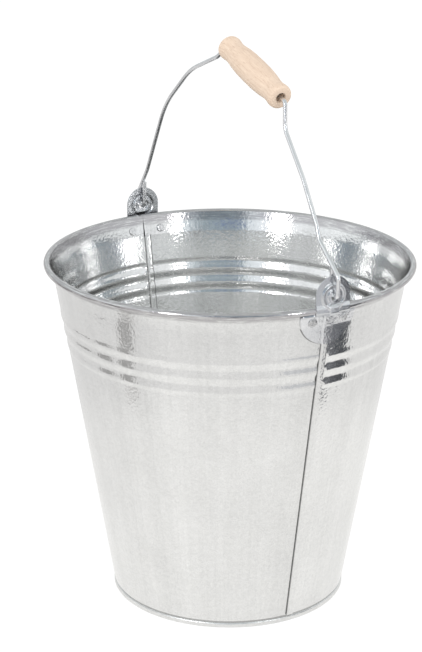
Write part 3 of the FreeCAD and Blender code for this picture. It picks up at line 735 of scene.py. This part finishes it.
def flat_ear():
    """The ear's flat shape (across, height) as points and faces, with its eye left open."""
    outline = ear_outline(0.5 * MM)
    eye = arc_points((0, hinge_height), eye_radius, 2 * math.pi, 0, 41)[:-1]
    rows = np.concatenate([
        np.arange(ear_foot, bends_low, 0.7 * MM), np.arange(bends_low, bends_high, 0.3 * MM),
        np.arange(bends_high, ear_top, 0.4 * MM)])
    columns = MM * np.concatenate([
        np.arange(-24, -12, 0.7), np.arange(-12, 12, 0.3), np.arange(12, 24.1, 0.7)])
    grid = [(across, height) for height in rows for across in columns]
    loops = np.vstack([outline, eye])
    rim = len(outline)
    edges = [(k, (k + 1) % rim) for k in range(rim)]
    edges += [(rim + k, rim + (k + 1) % len(eye)) for k in range(len(eye))]
    inside = well_inside(outline, eye, grid, 0.3 * MM)
    # The mesher is fed in millimetres, where its tolerance is fine enough.
    flat = [Vector(p) for p in np.vstack([loops, inside]) * 1000]
    flat, _, faces, _, _, _ = delaunay_2d_cdt(flat, edges, [], 1, 1e-4)
    flat = np.array([tuple(p) for p in flat]) * MM
    middles = np.array([flat[list(face)].mean(axis=0) for face in faces])
    solid = np.hypot(middles[:, 0], middles[:, 1] - hinge_height) > eye_radius * 0.99
    return flat, [tuple(face) for face, kept in zip(faces, solid) if kept]


def ear(name, turn):
    """Lays the flat shape on the ear's back, presses it, and closes front and back along their edges."""
    flat, faces = flat_ear()
    profile = ear_back()
    profile = profile[np.argsort(profile[:, 1], kind="stable")]
    radius = np.interp(flat[:, 1], profile[:, 1], profile[:, 0])
    slope = np.gradient(profile[:, 0]) / np.maximum(np.gradient(profile[:, 1]), 1e-7)
    slope = np.interp(flat[:, 1], profile[:, 1], slope)
    angle = np.arcsin(flat[:, 0] / radius)
    normal = np.stack([np.cos(angle), np.sin(angle), -slope], axis=1)
    normal /= np.linalg.norm(normal, axis=1)[:, None]
    back = np.stack([radius * np.cos(angle), flat[:, 0], flat[:, 1]], axis=1)
    back = back + normal * pressed_height(flat[:, 0], flat[:, 1])[:, None]
    front = back + normal * ear_sheet
    count = len(flat)
    all_faces = faces + [tuple(count + i for i in reversed(face)) for face in faces]
    sides = {(a, b) for face in faces for a, b in zip(face, face[1:] + face[:1])}
    all_faces += [(b, a, a + count, b + count) for a, b in sorted(sides) if (b, a) not in sides]
    verts = turned(np.vstack([front, back]), turn)
    piece = add_mesh(name + "_plate", verts, all_faces, pressed_steel, 50)
    dress(piece, "bucket", "pressed_steel", name)


ear("ear_right", 0)
ear("ear_left", math.pi)

# ------------------------------------------------------------------ rivets
# Four soft steel rivets, two through each ear, with a flat head inside the wall. The outer heads were
# hammered down by hand, so each is turned its own way and dented differently.

rivet_steel = galvanised("rivet_steel", (0.86, 0.86, 0.86, 1), (0.20, 0.20, 0.21, 1), roughness=0.28)


def rivet_blank():
    """One rivet about Z: flat inner head below, shank, and outer head spread above the ear."""
    half = [(0, -1.45), (2.6, -1.45), (3.3, -1.3), (3.5, -1.0), (3.5, -0.6), (3.4, -0.51), (2.0, -0.51),
            (2.0, 1.16), (3.7, 1.16), (4.0, 1.3), (4.0, 1.6), (3.6, 1.95), (2.6, 2.2), (1.6, 2.34),
            (0.8, 2.3), (0, 2.25)]
    sides = 40
    head_foot = 1.2 * MM
    faces = ring_faces(len(half), sides, closed_rows=False, closed_columns=True)
    blank = add_mesh("rivet_blank", spun(np.array(half) * MM, sides), faces, rivet_steel)
    cut = bmesh.new()
    cut.from_mesh(blank.data)
    bmesh.ops.subdivide_edges(cut, edges=cut.edges, cuts=1, use_grid_fill=True)
    cut.to_mesh(blank.data)
    cut.free()
    struck = blank.data.attributes.new("struck", "FLOAT", "POINT")
    struck.data.foreach_set("value", [float(v.co.z > head_foot) for v in blank.data.vertices])
    return blank


def opened_tree(name, start, sizes, result):
    """Starts a node tree with a geometry and named sizes going in: the tree, its pen and its inputs."""
    tree = bpy.data.node_groups.new(name, "GeometryNodeTree")
    taken = {start: "Geometry", **sizes}
    for label, kind in taken.items():
        tree.interface.new_socket(label, in_out="INPUT", socket_type="NodeSocket" + kind)
    tree.interface.new_socket(result, in_out="OUTPUT", socket_type="NodeSocketGeometry")
    pen = Wire(tree)
    return tree, pen, {label: pen.node("NodeGroupInput", output=label) for label in taken}


def rivet_tree():
    """Sets a blank on every point along its axis, turns it at random and dents the outer head."""
    tree, pen, given = opened_tree("hammered_rivets", "Places", {
        "Blank": "Object", "Dent Depth": "Float", "Dent Size": "Float", "Steel": "Material"}, "Rivets")
    axis = pen.node("GeometryNodeInputNamedAttribute", {"data_type": "FLOAT_VECTOR"}, {
        "Name": "axis"}, "Attribute")
    upright = pen.node("FunctionNodeAlignRotationToVector", {"axis": "Z"}, {"Vector": axis}, "Rotation")
    spin = pen.node("FunctionNodeRandomValue", {"data_type": "FLOAT"}, {
        "Min": 0.0, "Max": 2 * math.pi, "Seed": 7}, "Value")
    spin = pen.node("CombineXYZ", sockets={"Z": spin})
    spin = pen.node("FunctionNodeEulerToRotation", None, {"Euler": spin})
    turn = pen.node("FunctionNodeRotateRotation", {"rotation_space": "LOCAL"}, {
        "Rotation": upright, "Rotate By": spin})
    shape = pen.node("GeometryNodeObjectInfo", {"transform_space": "ORIGINAL"}, {
        "Object": given["Blank"]}, "Geometry")
    laid = pen.node("GeometryNodeInstanceOnPoints", None, {
        "Points": given["Places"], "Instance": shape, "Rotation": turn}, "Instances")
    real = pen.node("GeometryNodeRealizeInstances", None, {"Geometry": laid}, "Geometry")
    dents = noise(pen.node("GeometryNodeInputPosition", output="Position"), 1.0 / given["Dent Size"], 1.5)
    struck = pen.node("GeometryNodeInputNamedAttribute", {"data_type": "FLOAT"}, {
        "Name": "struck"}, "Attribute")
    dent = pen.maths("MINIMUM", dents - 0.58, 0.0) * given["Dent Depth"] * 4.0 * struck
    normal = pen.node("GeometryNodeInputNormal", output="Normal")
    offset = pen.node("VectorMath", {"operation": "SCALE"}, {"Vector": normal, "Scale": dent}, "Vector")
    dented = pen.node("GeometryNodeSetPosition", None, {"Geometry": real, "Offset": offset}, "Geometry")
    painted = pen.node("GeometryNodeSetMaterial", None, {
        "Geometry": dented, "Material": given["Steel"]}, "Geometry")
    pen.node("NodeGroupOutput", None, {"Rivets": painted})
    return tree


def grown(holder, tree, name, values):
    """The plain mesh that a node tree makes on a holder object."""
    modifier = holder.modifiers.new("nodes", "NODES")
    modifier.node_group = tree
    for item in tree.interface.items_tree:
        if item.in_out == "INPUT" and item.name in values:
            modifier[item.identifier] = values[item.name]
    depsgraph = bpy.context.evaluated_depsgraph_get()
    mesh = bpy.data.meshes.new_from_object(holder.evaluated_get(depsgraph))
    piece = bpy.data.objects.new(name, mesh)
    bpy.context.collection.objects.link(piece)
    holder.modifiers.remove(modifier)
    bpy.data.objects.remove(holder)
    mesh.shade_smooth()
    return piece


def holder_of(name, points, edges=()):
    """An object with only these points and edges, for a node tree to work on."""
    mesh = bpy.data.meshes.new(name)
    mesh.from_pydata(points, edges, [])
    holder = bpy.data.objects.new(name, mesh)
    bpy.context.collection.objects.link(holder)
    return holder


def rivets():
    tilt = math.radians(15.4)
    blank_middle = 0.4 * MM
    places, axes = [], []
    names = [n for n in frame["nodes"] if n.startswith("rivet_")]
    for node in names:
        low, high = (Vector(corner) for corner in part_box(node))
        middle = (low + high) / 2
        level = Vector((middle.x, middle.y, 0)).normalized()
        axis = (level * math.cos(tilt) - Vector((0, 0, math.sin(tilt)))).normalized()
        places.append(middle - axis * blank_middle)
        axes.append(axis)
    holder = holder_of("rivet_places", places)
    stored = holder.data.attributes.new("axis", "FLOAT_VECTOR", "POINT")
    stored.data.foreach_set("vector", [value for axis in axes for value in axis])
    blank = rivet_blank()
    piece = grown(holder, rivet_tree(), "rivets", {
        "Blank": blank, "Dent Depth": 0.45 * MM, "Dent Size": 2.2 * MM, "Steel": rivet_steel})
    bpy.data.objects.remove(blank)
    dress(piece, "bucket", "rivet_steel", *names)


rivets()

# ------------------------------------------------------------------ bail
# One length of zinc-coated drawn wire, bent by hand into an arch that is higher on the left. Each end is
# hooked outwards through an ear and turned up, and the straight run near the top carries the grip.

wire_diameter = 3.5 * MM
bail_lean = math.radians(2.0)
bail_corners = [
    (-148.6, 22.0, 0), (-148.6, 0, 3.2), (-157.5, 0, 3.2), (-157.5, 13.6, 8), (-144, 34.5, 30),
    (-115.5, 97.5, 80), (-74, 134.5, 80), (-30.5, 152.2, 8), (-15.2, 163.4, 4), (72.9, 134, 4),
    (74.4, 113, 15), (103, 80.5, 40), (125, 48.5, 25), (129.5, 38.5, 8), (157.5, 16.2, 5),
    (157.5, 0, 3.2), (148.6, 0, 3.2), (148.6, 22.0, 0)]
bail_steel = drawn_steel("bail_wire_steel", (0.92, 0.92, 0.93, 1), (0.52, 0.53, 0.55, 1), 0.20)


def on_bail(along, height):
    """A place in the plane of the bail, which leans a little to the rear."""
    return Vector((along, height * math.sin(bail_lean), hinge_height + height * math.cos(bail_lean)))


def wire_tree():
    """Turns a run of edges into round wire, and keeps how far along and around it each point lies."""
    tree, pen, given = opened_tree("round_wire", "Run", {
        "Diameter": "Float", "Sides": "Int", "Steel": "Material"}, "Wire")
    per_point = {"data_type": "FLOAT", "domain": "POINT"}
    line = pen.node("GeometryNodeMeshToCurve", None, {"Mesh": given["Run"]}, "Curve")
    length = pen.node("GeometryNodeSplineParameter", output="Length")
    line = pen.node("GeometryNodeStoreNamedAttribute", per_point, {
        "Geometry": line, "Name": "along", "Value": length}, "Geometry")
    ring = pen.node("GeometryNodeCurvePrimitiveCircle", {"mode": "RADIUS"}, {
        "Resolution": given["Sides"], "Radius": given["Diameter"] / 2.0}, "Curve")
    factor = pen.node("GeometryNodeSplineParameter", output="Factor")
    ring = pen.node("GeometryNodeStoreNamedAttribute", per_point, {
        "Geometry": ring, "Name": "around", "Value": factor}, "Geometry")
    tube = pen.node("GeometryNodeCurveToMesh", None, {
        "Curve": line, "Profile Curve": ring, "Fill Caps": True}, "Mesh")
    real = pen.node("GeometryNodeRealizeInstances", None, {"Geometry": tube}, "Geometry")
    painted = pen.node("GeometryNodeSetMaterial", None, {
        "Geometry": real, "Material": given["Steel"]}, "Geometry")
    pen.node("NodeGroupOutput", None, {"Wire": painted})
    return tree


def bail():
    run = rounded([(x * MM, up * MM, bend * MM) for x, up, bend in bail_corners], 0.5 * MM)
    points = [on_bail(along, height) for along, height in run]
    holder = holder_of("bail_run", points, [(k, k + 1) for k in range(len(points) - 1)])
    piece = grown(holder, wire_tree(), "bail_wire_bent", {
        "Diameter": wire_diameter, "Sides": 24, "Steel": bail_steel})
    piece.data.set_sharp_from_angle(angle=math.radians(50))
    dress(piece, "bail", "wire_steel", "bail_wire")


bail()

# ------------------------------------------------------------------ grip
# A spindle of pale beech, turned with a belly, two waists and a small knob at each end, bored through for
# the wire and left unvarnished.

grip_half = 43.0 * MM
bore_radius = 4.0 * MM
nose_radius = 2.4 * MM
grip_slope = math.radians(18.5)
grip_middle = on_bail(26.2 * MM, 149.6 * MM)
along_grip = (on_bail(math.cos(grip_slope), -math.sin(grip_slope)) - on_bail(0, 0)).normalized()
up_grip = (on_bail(math.sin(grip_slope), math.cos(grip_slope)) - on_bail(0, 0)).normalized()
grip_turn = Matrix((along_grip, up_grip, along_grip.cross(up_grip))).transposed()


def grip_profile():
    """Radius along the grip from its middle to one end, then back along the bore to the middle."""
    corners = [(0, 11.3), (12, 11.15), (21, 10.45), (27.3, 9.6), (30.5, 9.3), (34, 9.42), (37, 9.95),
               (38.2, 10.1), (40.4, 10.05), (41.9, 9.6), (42.75, 8.7), (43, 7.6)]
    places = np.array(corners) * MM
    along = np.linspace(0, grip_half, 90)
    radius = smoothed(np.interp(along, places[:, 0], places[:, 1]), 5, "reflect")
    keep = along < grip_half - 2.2 * MM
    nose = arc_points((grip_half - nose_radius, 7.5 * MM), nose_radius, math.radians(78), 0, 10)
    face = [(grip_half, 6.0 * MM), (grip_half - 0.1 * MM, 4.6 * MM), (grip_half - 0.5 * MM, 4.1 * MM),
            (grip_half - 1.2 * MM, bore_radius), (grip_half - 3.0 * MM, bore_radius), (0, bore_radius)]
    return np.vstack([np.stack([along[keep], radius[keep]], axis=1), nose, face])


def beech(name):
    """Unvarnished beech: long fine grain, short dark flecks, and growth rings that show on the end faces."""
    material = bpy.data.materials.new(name)
    pen = new_tree(material)
    place = pen.node("TexCoord", output="Object")
    own = pen.node("Mapping", {"vector_type": "TEXTURE"}, {
        "Vector": place, "Location": grip_middle, "Rotation": grip_turn.to_euler()})
    x, y, z = parts_of(own)
    in_log = pen.node("CombineXYZ", sockets={"X": x * 0.05, "Y": y + 21 * MM, "Z": z * 0.8 + 6 * MM})
    rings = pen.maths("SINE", length_of(in_log) * 2600.0 + noise(in_log, 90.0, 2.0) * 7.0)
    stretched = pen.node("Mapping", sockets={"Vector": own, "Scale": (55.0, 1300.0, 1300.0)})
    grain = noise(stretched, 1.0, 3.0)
    short = pen.node("Mapping", sockets={"Vector": own, "Scale": (260.0, 1700.0, 1700.0)})
    flecks = noise(short, 1.0, 1.0).step(0.60, 0.72)
    shade = 0.76 + rings * 0.06 + (grain - 0.5) * 0.9 - flecks * 0.42
    dark_wood, pale_wood = (0.56, 0.385, 0.27, 1), (0.89, 0.725, 0.58, 1)
    tone = blend(shade, dark_wood, pale_wood)
    rough = 0.62 + (grain - 0.5) * 0.3
    bump = pen.node("Bump", sockets={"Height": grain - flecks * 0.6, "Strength": 0.35, "Distance": 0.2 * MM})
    surface = pen.node("BsdfPrincipled", sockets={
        "Base Color": tone, "Roughness": rough, "Normal": bump, "Specular IOR Level": 0.35})
    pen.node("OutputMaterial", sockets={"Surface": surface})
    return material


wood = beech("turned_wood")


def grip():
    right = grip_profile()
    run = np.vstack([right, right[-2:0:-1] * (-1, 1)])
    sides = 96
    verts = [grip_middle + grip_turn @ Vector((along, r * math.cos(a), r * math.sin(a)))
             for a in np.linspace(0, 2 * math.pi, sides, endpoint=False) for along, r in run]
    piece = add_mesh("wooden_grip_turned", verts, ring_faces(len(run), sides, closed_columns=True), wood, 50)
    dress(piece, "grip", "turned_wood", "wooden_grip")


grip()
